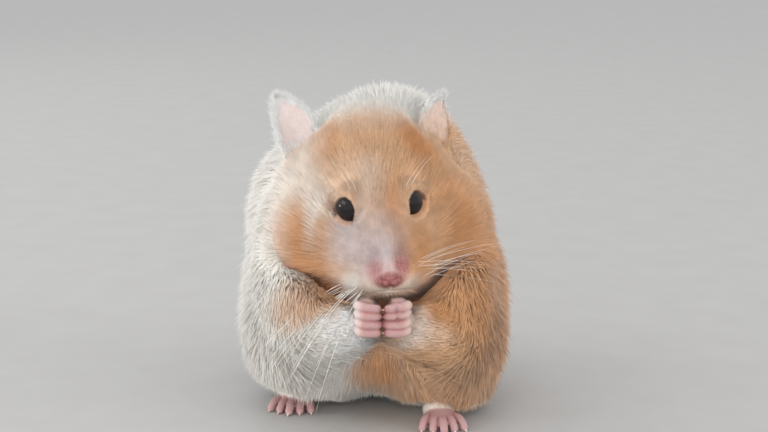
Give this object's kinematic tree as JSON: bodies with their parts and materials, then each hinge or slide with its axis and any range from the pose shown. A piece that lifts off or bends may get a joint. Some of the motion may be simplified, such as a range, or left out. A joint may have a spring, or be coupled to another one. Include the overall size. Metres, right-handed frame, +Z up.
{
  "type": "syrian hamster model",
  "caption": "Still, life-size model of a Syrian hamster sitting up on its haunches with its hands held together at its mouth.",
  "frame": {"origin": "on the floor, under the middle of the bounding box", "axes": "the animal faces -Y, its own left side is at +X, and +Z is up; side to side along X is its shortest size"},
  "size_m": [0.0794, 0.0938, 0.0903],
  "materials": {
    "apricot_fur": "soft long apricot fur, matte",
    "cream_fur": "soft long cream fur, matte",
    "ear_skin": "thin bare skin with fine pale hair",
    "pink_skin": "bare pink skin, soft sheen",
    "nose_skin": "bare pink skin, slightly moist",
    "black_eye": "wet gloss"
  },
  "bodies": {
    "root": {"head": "apricot_fur", "trunk": "apricot_fur", "foreleg_right": "cream_fur", "foreleg_left": "cream_fur", "hind_leg_right": "cream_fur", "hind_leg_left": "cream_fur", "ear_right": "ear_skin", "ear_left": "ear_skin", "eye_right": "black_eye", "eye_left": "black_eye", "nose": "nose_skin", "hand_right": "pink_skin", "hand_left": "pink_skin", "hind_foot_right": "pink_skin", "hind_foot_left": "pink_skin", "tail": "pink_skin"}
  },
  "joints": []
}
